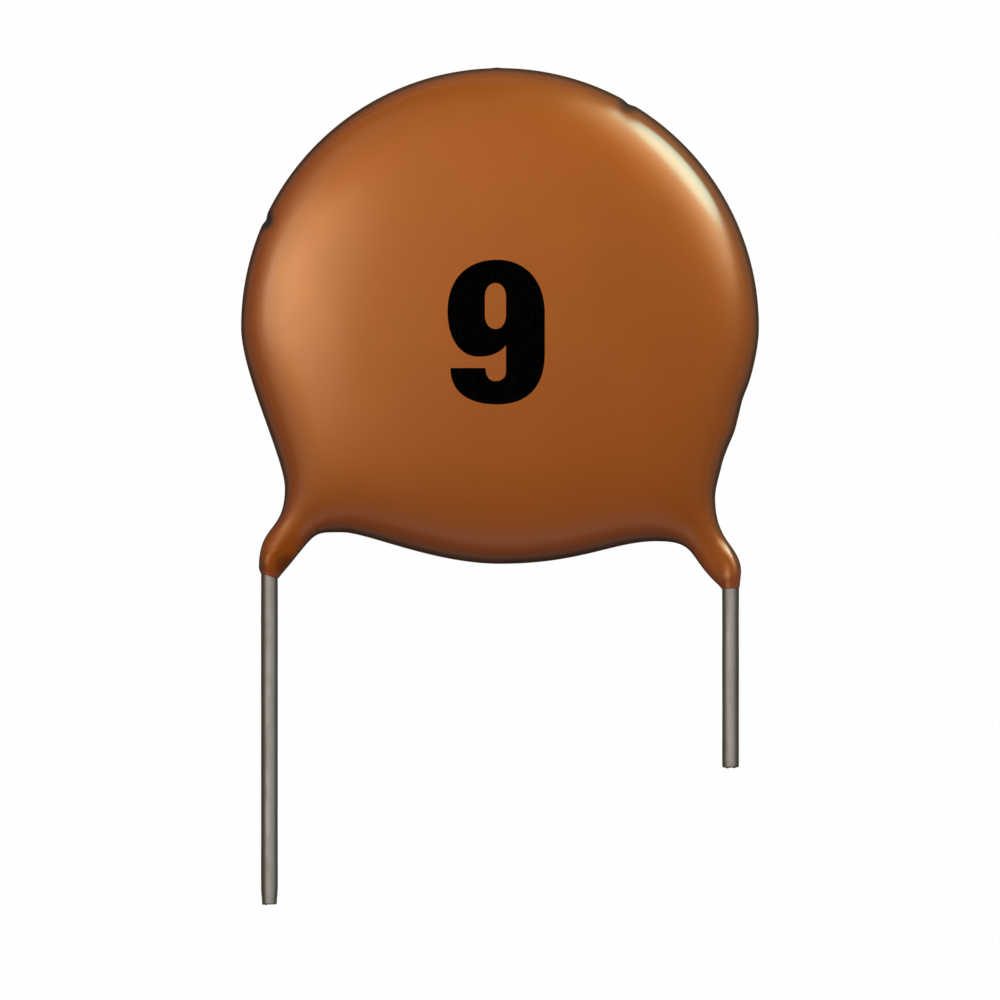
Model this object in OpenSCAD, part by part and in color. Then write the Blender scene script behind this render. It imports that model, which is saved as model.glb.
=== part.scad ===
// Dipped ceramic disc capacitor with two straight radial leads.
// It lies on its rear face: Z runs from the rear face to the front face, along the disc's axis.
// The leads leave towards -Y. The origin is on the axis, in the rear face.

/* [Ceramic disc] */
// Diameter of the ceramic disc
ceramic_d = 14; // [13:0.1:14.4]
// Thickness of the ceramic disc
ceramic_t = 1; // [0.6:0.05:1.6]
// Rounding of the disc's fired edges
ceramic_edge = 0.12; // [0.05:0.01:0.25]
// Bare ceramic left between the electrode and the disc's edge
electrode_margin = 0.7; // [0.4:0.05:1.2]
// Thickness of each fired silver electrode
electrode_t = 0.05; // [0.03:0.01:0.1]

/* [Leads] */
// Distance between the centre lines of the two leads
lead_pitch = 15; // [14.6:0.1:15.6]
// Diameter of the tinned wire
wire_d = 0.55; // [0.5:0.01:0.6]
// Reach of the left lead below the disc's axis
left_reach = 18.77; // [12:0.01:30]
// Reach of the right lead below the disc's axis
right_reach = 14.32; // [12:0.01:30]
// Depth of the left wire's first bend below the disc's axis
left_bend_drop = 7.55; // [7.4:0.05:8]
// Depth of the right wire's first bend below the disc's axis
right_bend_drop = 7.75; // [7.4:0.05:8]
// Angle between the free stretch and the stretch that crosses the disc
lean = 38; // [35:1:41]
// Radius of the bends, to the wire's centre line
bend_r = 0.9; // [0.7:0.05:1.1]
// Straight run after the first bend, before the wire rises to its face
rise_start = 0.75; // [0.7:0.05:0.9]
// Length over which the wire rises to its face
rise_run = 2.15; // [2:0.05:2.3]
// Length of the wire beyond the first bend, seen along the disc's axis
inner_run = 9.2; // [8.5:0.1:10]
// How much the wire's radius grows where forming has upset it in a bend
bend_swell = 0.005; // [0.004:0.001:0.01]
// Bevel that the cutter leaves on the free end
cut_bevel = 0.05; // [0.02:0.01:0.1]

/* [Solder] */
// Solder between the wire and the electrode
solder_film = 0.06; // [0.04:0.01:0.1]
// Width of the solder mound on the electrode
mound_w = 2; // [1.6:0.1:2.4]
// Height of the solder mound above the electrode
mound_h = 0.75; // [0.7:0.01:0.9]
// Length of the mound's straight back
mound_run = 3.6; // [3:0.1:4]

/* [Coating] */
// Resin around the edge of the ceramic disc
rim_coat = 1.43; // [1.2:0.01:1.8]
// Resin below the ceramic disc, between the legs
belly_coat = 0.71; // [0.5:0.01:1]
// Resin over the wire on each face
face_coat = 0.64; // [0.5:0.01:0.9]
// Diameter of the flat in the middle of each face
flat_d = 7; // [5:0.5:9]
// Width of the band in which the face rolls over into the edge
rim_roll = 2.43; // [2:0.01:2.8]
// Drop of the face from its flat to the start of that band
face_drop = 0.14; // [0.05:0.01:0.2]
// Distance of the waist above each leg inwards from the lead's centre line
waist_inset = 0.5; // [0.3:0.05:0.7]
// Depth of the left waist below the disc's axis
left_waist_drop = 5.25; // [5:0.05:5.8]
// Depth of the right waist below the disc's axis
right_waist_drop = 5.55; // [5:0.05:5.8]
// Distance of the arch beside each leg inwards from the lead's centre line
arch_inset = 2.4; // [2.2:0.05:2.6]
// Depth of the left arch below the disc's axis
left_arch_drop = 6.69; // [6.6:0.01:7.1]
// Depth of the right arch below the disc's axis
right_arch_drop = 6.98; // [6.6:0.01:7.1]
// Resin that has run down the left lead past its first bend
left_skirt = 0.4; // [0.35:0.01:1]
// Resin that has run down the right lead past its first bend
right_skirt = 0.6; // [0.35:0.01:1]
// Resin around the wire at the tip of each leg
tip_film = 0.07; // [0.05:0.01:0.12]
// How late the leg thins towards its tip
leg_taper = 1.15; // [1:0.05:1.3]

/* [Hidden] */

LEFT = -1;
RIGHT = 1;
FRONT = 1;
REAR = -1;

resin = "#9a5628";
fired_ceramic = "#d8cbb2";
fired_silver = "#c9c9c6";
tinned_wire = "#9b928c";
solder_grey = "#b3b0aa";

round_faces = 96;
wire_faces = 48;

ceramic_r = ceramic_d / 2;
electrode_r = ceramic_r - electrode_margin;
coat_r = ceramic_r + rim_coat;
wire_r = wire_d / 2;
lead_x = lead_pitch / 2;

// A straight stretch starts this far inside the thicker bend beside it
bend_seat = 0.03;

// Heights are counted from the disc's middle plane
electrode_top = ceramic_t / 2 + electrode_t;
wire_height = electrode_top + solder_film + wire_r;
half_t = wire_height + wire_r + face_coat;

// The wire of the left lead is soldered to the front of the disc, that of the right lead to the rear
function face_of(side) = side == LEFT ? FRONT : REAR;
function reach_of(side) = side == LEFT ? left_reach : right_reach;

// What differs between the legs: depth of the bend, length of the skirt, depths of waist and arch
BEND = 0;
SKIRT = 1;
WAIST = 2;
ARCH = 3;
left_leg = [left_bend_drop, left_skirt, left_waist_drop, left_arch_drop];
right_leg = [right_bend_drop, right_skirt, right_waist_drop, right_arch_drop];
function leg_of(side) = side == LEFT ? left_leg : right_leg;

// A leg is worked out on the right, and mirrored for the left
inward = [-sin(lean), cos(lean)];
function bend_of(leg) = [lead_x, -leg[BEND]];
function waist_of(leg) = [lead_x - waist_inset, -leg[WAIST]];
function arch_of(leg) = [lead_x - arch_inset, -leg[ARCH]];
function tip_of(leg) = [lead_x, -leg[BEND] - leg[SKIRT]];

// The edge of the face, where the legs' spines start
ring_r = coat_r - rim_roll;
ring_h = half_t - face_drop;
tip_r = wire_r + tip_film;
function spine_run(leg) =
    let (
        bend = bend_of(leg),
        along = bend * inward
    )
    -along - sqrt(along * along - bend * bend + ring_r * ring_r);
function root_of(leg) = bend_of(leg) + spine_run(leg) * inward;
function root_angle(leg) =
    let (root = root_of(leg))
    atan2(root.y, root.x);

// Steps along each stretch of the outline, and from the outline to the face
arc_steps = 28;
flank_steps = 8;
haunch_steps = 5;
leg_steps = 9;
skirt_steps = 3;
tip_steps = 8;
belly_steps = 12;
roll_steps = 8;
crown_steps = 4;

// Shares of the flank's and of the belly's curve that belong to the haunch at the leg's root:
// there the outline rolls up to the leg's spine and no longer to the face
flank_share = 0.25;
belly_share = 0.25;
// Share of the spine that lies above the leg's neck, between its waist and its arch
neck_share = 0.42;

// Reach of the handles that shape the curved stretches of the outline
flank_handle = 1.6;
waist_handle = 0.95;
leg_handle = 1.5;
shoulder_handle = 1.2;
crotch_handle = 1.7;
arch_handle = 1.2;
haunch_handle = 1.1;
belly_handle = 2.4;
// The outline meets the skirt a little below the wire's bend
shoulder_fall = 0.24;
// Direction in which the outline leaves the tip towards the arch, from the vertical
crotch_lean = 44;

function curve(a, b, c, d, t) =
    pow(1 - t, 3) * a + 3 * t * pow(1 - t, 2) * b + 3 * t * t * (1 - t) * c + pow(t, 3) * d;
function smooth(t) = t * t * (3 - 2 * t);
function polar(r, angle) = r * [cos(angle), sin(angle)];
function unit(v) = v / norm(v);
function reversed(list) = [for (i = [len(list) - 1:-1:0]) list[i]];

// A leg's spine runs from the edge of the face over the wire to the leg's tip
function spine_point(s, leg) =
    s < spine_run(leg)
        ? root_of(leg) - s * inward
        : bend_of(leg) - [0, s - spine_run(leg)];
function spine_height(s, leg) =
    ring_h + (tip_r - ring_h) * smooth(pow(s / (spine_run(leg) + leg[SKIRT]), leg_taper));

// A station is a point of the outline, the point of the face that it rolls up to, and the height there
function arc_station(angle) = [polar(coat_r, angle), polar(ring_r, angle), ring_h];

// The outline's curve from the widest point of the disc down to the waist
function flank_point(t, leg) =
    let (
        top = [coat_r, 0],
        waist = waist_of(leg)
    )
    curve(top, top - [0, flank_handle], waist + [0, waist_handle], waist, t);

// The outline's curve from the arch to the lowest point of the belly
function belly_point(t, leg) =
    let (
        arch = arch_of(leg),
        low = [0, -ceramic_r - belly_coat]
    )
    curve(arch, arch - [haunch_handle, 0], low + [belly_handle, 0], low, t);

function flank_station(t, leg) =
    [flank_point(t * (1 - flank_share), leg), polar(ring_r, t * root_angle(leg)), ring_h];

function belly_station(t, leg) =
    let (start = root_angle(leg))
    [
        belly_point(belly_share + t * (1 - belly_share), leg),
        polar(ring_r, start + t * (-90 - start)),
        ring_h
    ];

// Distances along the spine of a leg: down to the neck, on to the bend, and down the skirt
function leg_marks(leg) =
    let (
        bend = spine_run(leg),
        neck = neck_share * bend
    )
    concat(
        [for (i = [0:haunch_steps - 1]) neck * i / haunch_steps],
        [for (i = [0:leg_steps]) neck + (bend - neck) * i / leg_steps],
        [for (i = [1:skirt_steps]) bend + leg[SKIRT] * i / skirt_steps]
    );

function outer_point(i, leg) =
    let (
        above_neck = 1 - i / haunch_steps,
        below_neck = (i - haunch_steps) / leg_steps,
        down_skirt = (i - haunch_steps - leg_steps) / skirt_steps,
        waist = waist_of(leg),
        shoulder = bend_of(leg) + [tip_r, -shoulder_fall],
        tip = tip_of(leg) + [tip_r, 0]
    )
    above_neck > 0 ? flank_point(1 - flank_share * above_neck, leg)
    : down_skirt > 0 ? shoulder + (tip - shoulder) * down_skirt
    : curve(
        waist, waist - [0, leg_handle],
        shoulder + [0, shoulder_handle], shoulder,
        below_neck
    );

function inner_point(i, leg) =
    let (
        above_neck = 1 - i / haunch_steps,
        below_neck = (i - haunch_steps) / (leg_steps + skirt_steps),
        arch = arch_of(leg),
        tip = tip_of(leg) - [tip_r, 0]
    )
    above_neck > 0 ? belly_point(belly_share * above_neck, leg)
    : curve(
        arch, arch + [arch_handle, 0],
        tip + polar(crotch_handle, 90 + crotch_lean), tip,
        below_neck
    );

function leg_station(edge, s, leg) = [edge, spine_point(s, leg), spine_height(s, leg)];

function tip_station(angle, leg) = [tip_of(leg) + polar(tip_r, angle), tip_of(leg), tip_r];

// Stations down one side, from the top of the disc to the lowest point of its belly
function side_stations(leg) =
    let (
        marks = leg_marks(leg),
        last = len(marks) - 1
    )
    concat(
        [for (i = [0:arc_steps]) arc_station(90 - 90 * i / arc_steps)],
        [for (i = [1:flank_steps - 1]) flank_station(i / flank_steps, leg)],
        [for (i = [0:last]) leg_station(outer_point(i, leg), marks[i], leg)],
        [for (i = [1:tip_steps - 1]) tip_station(-180 * i / tip_steps, leg)],
        [for (i = [last:-1:0]) leg_station(inner_point(i, leg), marks[i], leg)],
        [for (i = [1:belly_steps]) belly_station(i / belly_steps, leg)]
    );

function mirrored(station) =
    [[-station[0].x, station[0].y], [-station[1].x, station[1].y], station[2]];

// The left side comes back up to the top without repeating the two points on the axis
function all_stations() =
    let (left = reversed(side_stations(left_leg)))
    concat(side_stations(right_leg), [for (i = [1:len(left) - 2]) mirrored(left[i])]);

// Height of the face inside its edge, at a share of the edge's radius
function crown_height(share) =
    let (flat_share = flat_d / 2 / ring_r)
    ring_h + face_drop * pow((1 - share * share) / (1 - flat_share * flat_share), 2);

module in_place() {
    translate([0, 0, half_t]) children();
}

// The resin's outer form: each station's edge rolls up to the face or to the spine of a leg
module coat_form() {
    stations = all_stations();
    count = len(stations);
    // Both sides of a leg share the points of its spine
    shared = [
        for (i = [0:count - 1])
            [for (j = [0:i]) if (norm(stations[j][1] - stations[i][1]) < 1e-6) j][0]
    ];
    on_face = [
        for (i = [0:count - 1])
            if (shared[i] == i && norm(stations[i][1]) < ring_r + 1e-6) i
    ];
    roll_points = [
        for (z = [FRONT, REAR], k = [1:roll_steps], s = stations)
            let (
                turn = 90 * k / roll_steps,
                at = s[1] + (s[0] - s[1]) * cos(turn)
            )
            [at.x, at.y, z * s[2] * sin(turn)]
    ];
    crown_points = [
        for (z = [FRONT, REAR], k = [1:crown_steps - 1], s = stations)
            let (share = 1 - k / crown_steps)
            [s[1].x * share, s[1].y * share, z * crown_height(share)]
    ];
    points = concat(
        [for (s = stations) [s[0].x, s[0].y, 0]],
        roll_points,
        crown_points,
        [[0, 0, crown_height(0)], [0, 0, -crown_height(0)]]
    );
    // Numbers of the points in each layer, for the front and for the rear
    function rolled(face, k, i) =
        k == 0 ? i : count * (face * roll_steps + k) + (k == roll_steps ? shared[i] : i);
    function crowned(face, k, i) =
        k == 0
            ? rolled(face, roll_steps, i)
            : count * (1 + 2 * roll_steps + face * (crown_steps - 1) + k - 1) + i;
    function facing(face, corners) = face == 0 ? corners : reversed(corners);
    apex = count * (1 + 2 * roll_steps + 2 * (crown_steps - 1));
    roll_faces = [
        for (face = [0, 1], k = [0:roll_steps - 1], i = [0:count - 1])
            let (
                j = (i + 1) % count,
                a = rolled(face, k, i),
                b = rolled(face, k, j),
                c = rolled(face, k + 1, j),
                d = rolled(face, k + 1, i)
            )
            each c == d
                ? [facing(face, [a, b, c])]
                : [facing(face, [a, b, c]), facing(face, [a, c, d])]
    ];
    crown_faces = [
        for (face = [0, 1], k = [0:crown_steps - 2], n = [0:len(on_face) - 1])
            let (
                i = on_face[n],
                j = on_face[(n + 1) % len(on_face)],
                a = crowned(face, k, i),
                b = crowned(face, k, j),
                c = crowned(face, k + 1, j),
                d = crowned(face, k + 1, i)
            )
            each [facing(face, [a, b, c]), facing(face, [a, c, d])]
    ];
    apex_faces = [
        for (face = [0, 1], n = [0:len(on_face) - 1])
            let (
                i = on_face[n],
                j = on_face[(n + 1) % len(on_face)],
                a = crowned(face, crown_steps - 1, i),
                b = crowned(face, crown_steps - 1, j)
            )
            facing(face, [a, b, apex + face])
    ];
    polyhedron(points, concat(roll_faces, crown_faces, apex_faces), convexity = 6);
}

// The coat's form with the flat in the middle of each face
module flattened_coat() {
    reach = 4 * coat_r;
    intersection() {
        coat_form();
        translate([-reach / 2, -reach / 2, -half_t]) cube([reach, reach, 2 * half_t]);
    }
}

module ceramic_body() {
    rotate_extrude($fn = round_faces) {
        difference() {
            translate([0, -ceramic_t / 2]) square([ceramic_r, ceramic_t]);
            for (side = [FRONT, REAR]) {
                corner = [ceramic_r - ceramic_edge, side * (ceramic_t / 2 - ceramic_edge)];
                difference() {
                    translate([corner.x, side > 0 ? corner.y : corner.y - ceramic_edge])
                        square(ceramic_edge);
                    translate(corner) circle(ceramic_edge, $fn = round_faces);
                }
            }
        }
    }
}

module electrode_layer(face) {
    translate([0, 0, face > 0 ? ceramic_t / 2 : -electrode_top])
        cylinder(h = electrode_t, r = electrode_r, $fn = round_faces);
}

// A point of the wire's run, at a distance beyond its first bend and a height above the middle plane
function run_point(side, distance, height) =
    let (at = bend_of(leg_of(side)) + distance * inward)
    [side * at.x, at.y, height];

// Corners of one lead's centre line, from its free end to its end on the electrode
function lead_corners(side) =
    let (height = face_of(side) * wire_height)
    [
        [side * lead_x, -reach_of(side), 0],
        run_point(side, 0, 0),
        run_point(side, rise_start, 0),
        run_point(side, rise_start + rise_run, height),
        run_point(side, inner_run, height)
    ];

// Turns what is drawn along Z into the direction given
module along(direction) {
    rotate([0, acos(direction.z), atan2(direction.y, direction.x)]) children();
}

// One bend of the wire: it starts where the straight before it ends
module wire_bend(corner, before, after) {
    turn = acos(before * after);
    start = corner - bend_r * tan(turn / 2) * before;
    axis = unit(cross(before, after));
    outward = cross(before, axis);
    middle = start - bend_r * outward;
    multmatrix([
        [outward.x, before.x, axis.x, middle.x],
        [outward.y, before.y, axis.y, middle.y],
        [outward.z, before.z, axis.z, middle.z],
        [0, 0, 0, 1]
    ])
        rotate_extrude(angle = turn, $fn = round_faces)
            translate([bend_r, 0]) circle(wire_r + bend_swell, $fn = wire_faces);
}

// Wire along the corners given, with a bend at each inner corner and a bevel on its first end
module bent_wire(corners) {
    last = len(corners) - 1;
    ways = [for (i = [0:last - 1]) unit(corners[i + 1] - corners[i])];
    function turn_at(i) = acos(ways[i - 1] * ways[i]);
    // What each end of a straight stretch leaves free of the corner there
    cuts = [
        for (i = [0:last])
            i == 0 ? cut_bevel
            : i == last ? 0
            : bend_r * tan(turn_at(i) / 2) - bend_seat
    ];
    for (i = [0:last - 1]) {
        start = corners[i] + cuts[i] * ways[i];
        length = norm(corners[i + 1] - corners[i]) - cuts[i] - cuts[i + 1];
        translate(start) along(ways[i]) cylinder(h = length, r = wire_r, $fn = wire_faces);
    }
    translate(corners[0])
        along(ways[0])
            cylinder(h = cut_bevel, r1 = wire_r - cut_bevel, r2 = wire_r, $fn = wire_faces);
    for (i = [1:last - 1]) wire_bend(corners[i], ways[i - 1], ways[i]);
}

module lead_wire(side) {
    bent_wire(lead_corners(side));
}

// Round-ended solder ridge around a lead, cut flat by the electrode that it has wetted
module solder_ridge(side) {
    ridge_r = (mound_h * mound_h + mound_w * mound_w / 4) / (2 * mound_h);
    sunk = electrode_top + mound_h - ridge_r;
    face = face_of(side);
    span = 2 * coat_r;
    intersection() {
        translate(run_point(side, inner_run - mound_run, face * sunk))
            along([side * inward.x, inward.y, 0])
                rotate_extrude($fn = wire_faces) ridge_profile(ridge_r);
        translate([-span / 2, -span / 2, face == FRONT ? electrode_top : -electrode_top - mound_w])
            cube([span, span, mound_w]);
    }
}

// Half of a bar with two round ends, to be turned about its length
module ridge_profile(ridge_r) {
    intersection() {
        union() {
            for (end = [0, mound_run]) translate([0, end]) circle(ridge_r, $fn = round_faces);
            square([ridge_r, mound_run]);
        }
        translate([0, -ridge_r]) square([ridge_r, mound_run + 2 * ridge_r]);
    }
}

module solder_mound(side) {
    difference() {
        solder_ridge(side);
        lead_wire(side);
    }
}

module coating() {
    color(resin) in_place() {
        difference() {
            flattened_coat();
            ceramic_body();
            for (face = [FRONT, REAR]) electrode_layer(face);
            for (side = [LEFT, RIGHT]) {
                lead_wire(side);
                solder_ridge(side);
            }
        }
    }
}

module ceramic_disc() {
    color(fired_ceramic) in_place() ceramic_body();
}

module front_electrode() {
    color(fired_silver) in_place() electrode_layer(FRONT);
}

module rear_electrode() {
    color(fired_silver) in_place() electrode_layer(REAR);
}

module left_lead() {
    color(tinned_wire) in_place() lead_wire(LEFT);
}

module right_lead() {
    color(tinned_wire) in_place() lead_wire(RIGHT);
}

module front_solder() {
    color(solder_grey) in_place() solder_mound(LEFT);
}

module rear_solder() {
    color(solder_grey) in_place() solder_mound(RIGHT);
}

coating();
ceramic_disc();
front_electrode();
rear_electrode();
left_lead();
right_lead();
front_solder();
rear_solder();
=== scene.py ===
import math

import bpy
import numpy as np
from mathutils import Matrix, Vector, noise
from mathutils.bvhtree import BVHTree
from mathutils.geometry import delaunay_2d_cdt


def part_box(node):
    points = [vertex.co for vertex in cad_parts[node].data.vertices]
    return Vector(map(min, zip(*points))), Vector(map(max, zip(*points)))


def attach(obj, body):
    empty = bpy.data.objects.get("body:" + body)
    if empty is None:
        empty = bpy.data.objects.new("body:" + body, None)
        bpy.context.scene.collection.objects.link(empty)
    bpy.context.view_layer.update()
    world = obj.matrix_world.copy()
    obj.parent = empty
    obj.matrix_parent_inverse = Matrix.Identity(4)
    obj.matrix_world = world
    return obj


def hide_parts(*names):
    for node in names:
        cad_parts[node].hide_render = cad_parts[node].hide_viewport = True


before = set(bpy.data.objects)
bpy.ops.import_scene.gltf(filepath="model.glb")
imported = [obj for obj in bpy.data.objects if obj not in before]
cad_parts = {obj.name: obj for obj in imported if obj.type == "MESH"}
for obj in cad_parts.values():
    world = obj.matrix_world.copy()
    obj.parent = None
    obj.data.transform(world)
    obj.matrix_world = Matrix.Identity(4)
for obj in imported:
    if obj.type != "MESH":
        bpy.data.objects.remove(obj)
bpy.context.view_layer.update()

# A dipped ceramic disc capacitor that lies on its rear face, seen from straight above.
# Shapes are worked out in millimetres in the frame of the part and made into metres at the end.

MM = 0.001
LEFT = -1
RIGHT = 1
FRONT = 1
REAR = -1

coat_low, coat_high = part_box("coating")

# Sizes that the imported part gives
half_t = (coat_high.z - coat_low.z) / 2 / MM
middle = (coat_high.z + coat_low.z) / 2 / MM
coat_r = coat_high.y / MM
left_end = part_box("left_lead")[0].y / MM
right_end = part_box("right_lead")[0].y / MM
wire_r = 0.275
lead_x = -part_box("left_lead")[0].x / MM - wire_r
belly_low = -7.71

# The wires inside the coat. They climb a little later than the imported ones, so that the skin stays smooth
lean = math.radians(38)
bend_r = 0.9
bend_drop = {LEFT: 7.55, RIGHT: 7.75}
rise_start = 1.1
rise_run = 2.4
inner_run = 9.2
wire_height = 0.885
bend_steps = 12


# Outline of the coat

# How each side of the dip has run: depths are below the disc's axis, handles shape the curves
SIDES = {
    LEFT: dict(
        waist_inset=0.5, waist_drop=5.24, flank=1.49, waist=0.935, leg=1.5, shoulder=1.5,
        shoulder_drop=7.84, arch_inset=2.37, arch_drop=6.686, arch=1.07, crotch=1.9,
        crotch_lean=40.5, haunch=0.8, belly=2.16, outer_end=8.02, inner_end=8.19,
    ),
    RIGHT: dict(
        waist_inset=0.5, waist_drop=5.56, flank=1.74, waist=0.98, leg=1.5, shoulder=0.9,
        shoulder_drop=7.99, arch_inset=2.41, arch_drop=6.976, arch=1.37, crotch=1.45,
        crotch_lean=48.2, haunch=1.4, belly=2.65, outer_end=8.5, inner_end=8.53,
    ),
}
tip_film = 0.07
end_film = 0.018
crotch_rise = 0.1
tip_handle = 0.05
# Steps along a long curve, a short one and the shortest, before the outline is divided evenly
fine = 120
coarse = 20
short = 10

# Places where the dipped edge is not quite even: where, how wide, and how far it goes inwards
EDGE_MARKS = [
    ((4.15, 7.2), 0.16, 0.09),
    ((-7.6, 3.48), 0.14, 0.07),
    ((-0.1, 8.43), 0.13, -0.02),
    ((7.88, -2.35), 0.45, 0.05),
    ((7.45, -3.35), 0.35, -0.035),
    ((7.1, -4.2), 0.4, 0.03),
]


def curve(a, b, c, d, steps):
    """Points of a cubic curve from a to d, without its last point."""
    t = np.linspace(0, 1, steps, endpoint=False)[:, None]
    return (1 - t) ** 3 * a + 3 * t * (1 - t) ** 2 * b + 3 * t * t * (1 - t) * c + t ** 3 * d


def straight(a, b, steps):
    """Points of a straight line, crowded towards its ends, without its last point."""
    return curve(a, a, b, b, steps)


def point(x, y):
    return np.array([x, y], float)


def side_outline(leg):
    """One side of the outline, on the right, from the top of the disc to its lowest point."""
    angle = np.radians(np.linspace(90, 0, 3 * fine, endpoint=False))
    arc = coat_r * np.stack([np.cos(angle), np.sin(angle)], 1)
    side = point(coat_r, 0)
    waist = point(lead_x - leg["waist_inset"], -leg["waist_drop"])
    shoulder = point(lead_x + wire_r + tip_film, -leg["shoulder_drop"])
    outer_end = point(lead_x + wire_r + end_film, -leg["outer_end"])
    inner_end = point(lead_x - wire_r - end_film, -leg["inner_end"])
    crotch = inner_end + point(-tip_film, crotch_rise)
    arch = point(lead_x - leg["arch_inset"], -leg["arch_drop"])
    low = point(0, belly_low)
    away = math.radians(90 + leg["crotch_lean"])
    down = point(0, -1)
    across = point(1, 0)
    return np.concatenate([
        arc,
        curve(side, side + leg["flank"] * down, waist - leg["waist"] * down, waist, fine),
        curve(waist, waist + leg["leg"] * down, shoulder - leg["shoulder"] * down, shoulder, fine),
        curve(shoulder, shoulder + tip_handle * down, outer_end - tip_handle * down, outer_end, coarse),
        straight(outer_end, inner_end, coarse),
        straight(inner_end, crotch, short),
        curve(
            crotch, crotch + leg["crotch"] * point(math.cos(away), math.sin(away)),
            arch + leg["arch"] * across, arch, fine,
        ),
        curve(arch, arch - leg["haunch"] * across, low + leg["belly"] * across, low, fine),
        low[None],
    ])


def even_steps(loop, step):
    """The closed loop again, with points about a step apart."""
    closed = np.concatenate([loop, loop[:1]])
    run = np.concatenate([[0], np.cumsum(np.linalg.norm(np.diff(closed, axis=0), axis=1))])
    count = round(run[-1] / step)
    at = np.linspace(0, run[-1], count, endpoint=False)
    return np.stack([np.interp(at, run, closed[:, k]) for k in (0, 1)], 1)


def inward_normals(loop):
    """Unit vectors to the left of a loop that runs anticlockwise."""
    along = np.roll(loop, -1, axis=0) - np.roll(loop, 1, axis=0)
    along /= np.linalg.norm(along, axis=1)[:, None]
    return np.stack([-along[:, 1], along[:, 0]], 1)


def coat_outline(step):
    """The outline of the dip, anticlockwise, with its uneven places."""
    right = side_outline(SIDES[RIGHT])
    left = side_outline(SIDES[LEFT]) * (-1, 1)
    loop = even_steps(np.concatenate([left, right[::-1][1:-1]]), step)
    inward = inward_normals(loop)
    shift = np.zeros(len(loop))
    for place, width, depth in EDGE_MARKS:
        away = np.linalg.norm(loop - place, axis=1)
        shift += depth * np.exp(-((away / width) ** 2))
    return loop + shift[:, None] * inward


# Flat meshes inside an outline

# Points that are worked on at a time, and how close two corners of a mesh have to be to become one
batch = 4000
weld = 1e-7


def nearest(points, loop):
    """Distance from each point to the nearest point of the loop."""
    out = np.empty(len(points))
    for start in range(0, len(points), batch):
        part = points[start:start + batch]
        gap = part[:, None, :] - loop[None, :, :]
        out[start:start + batch] = np.sqrt((gap ** 2).sum(2).min(1))
    return out


def inside(points, loop):
    """Which points lie inside the loop."""
    a, b = loop, np.roll(loop, -1, axis=0)
    result = np.zeros(len(points), bool)
    for start in range(0, len(points), batch):
        p = points[start:start + batch, None, :]
        crossing = (a[:, 1] > p[:, :, 1]) != (b[:, 1] > p[:, :, 1])
        rise = np.where(b[:, 1] == a[:, 1], 1, b[:, 1] - a[:, 1])
        x = a[:, 0] + (p[:, :, 1] - a[:, 1]) * (b[:, 0] - a[:, 0]) / rise
        hits = crossing & (p[:, :, 0] < x)
        result[start:start + batch] = hits.sum(1) % 2 == 1
    return result


def hex_points(loop, spacing):
    """A honeycomb of points over the box of the loop."""
    low, high = loop.min(0), loop.max(0)
    row_gap = spacing * math.sqrt(0.75)
    rows = np.arange(low[1], high[1], row_gap)
    columns = np.arange(low[0], high[0], spacing)
    x, y = np.meshgrid(columns, rows)
    x[1::2] += spacing / 2
    return np.stack([x.ravel(), y.ravel()], 1)


def filled(loops, inner):
    """Triangles of the area inside the first loop and outside the others, with the inner points given."""
    points = np.concatenate([*loops, inner])
    edges = []
    start = 0
    for loop in loops:
        count = len(loop)
        edges += [(start + i, start + (i + 1) % count) for i in range(count)]
        start += count
    made = delaunay_2d_cdt([Vector(p) for p in points], edges, [list(range(len(loops[0])))], 1, weld)
    flat = np.array([v[:] for v in made[0]])
    triangles = np.array([f for f in made[2] if len(f) == 3])
    centres = flat[triangles].mean(1)
    keep = inside(centres, loops[0])
    for hole in loops[1:]:
        keep &= ~inside(centres, hole)
    triangles = triangles[keep]
    a, b, c = (flat[triangles[:, k]] for k in range(3))
    turned = np.cross(b - a, c - a) < 0
    triangles[turned] = triangles[turned][:, ::-1]
    on_edge = np.array([any(i < start for i in came) for came in made[3]])
    return flat, triangles, on_edge


# Height of the coat

# How far inwards the edge's roundness reaches, and the share of the height that the face loses to its rim
section_fall = 1.8
crown = 0.28
solver_steps = 400
solved = 1e-14


def inflated(flat, triangles, on_edge):
    """Share of the full height at each point, as if the outline were blown up from its edge.

    Solves u - fall^2 * laplace(u) = 1 with u = 0 on the outline, by conjugate gradients.
    """
    corners = flat[triangles]
    area = 0.5 * np.cross(corners[:, 1] - corners[:, 0], corners[:, 2] - corners[:, 0])
    count = len(flat)
    mass = np.bincount(triangles.ravel(), np.repeat(area / 3, 3), count)
    ends, weights = [], []
    for k in range(3):
        i, j = triangles[:, (k + 1) % 3], triangles[:, (k + 2) % 3]
        to_i, to_j = flat[i] - corners[:, k], flat[j] - corners[:, k]
        ends.append(np.stack([i, j], 1))
        weights.append((to_i * to_j).sum(1) / (4 * area))
    ends, weights = np.concatenate(ends), np.concatenate(weights) * section_fall ** 2
    diagonal = mass + np.bincount(ends.ravel(), np.repeat(weights, 2), count)
    free = ~on_edge

    def applied(u):
        cross_terms = np.bincount(ends[:, 0], weights * u[ends[:, 1]], count)
        cross_terms += np.bincount(ends[:, 1], weights * u[ends[:, 0]], count)
        return (diagonal * u - cross_terms) * free

    u = np.zeros(count)
    rest = mass * free
    ready = rest / diagonal
    way = ready.copy()
    size = rest @ ready
    for _ in range(solver_steps):
        image = applied(way)
        step = size / (way @ image)
        u += step * way
        rest -= step * image
        ready = rest / diagonal
        new_size = rest @ ready
        if new_size < solved:
            break
        way = ready + new_size / size * way
        size = new_size
    return np.sqrt(np.clip(u * (2 - u), 0, 1))


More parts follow.
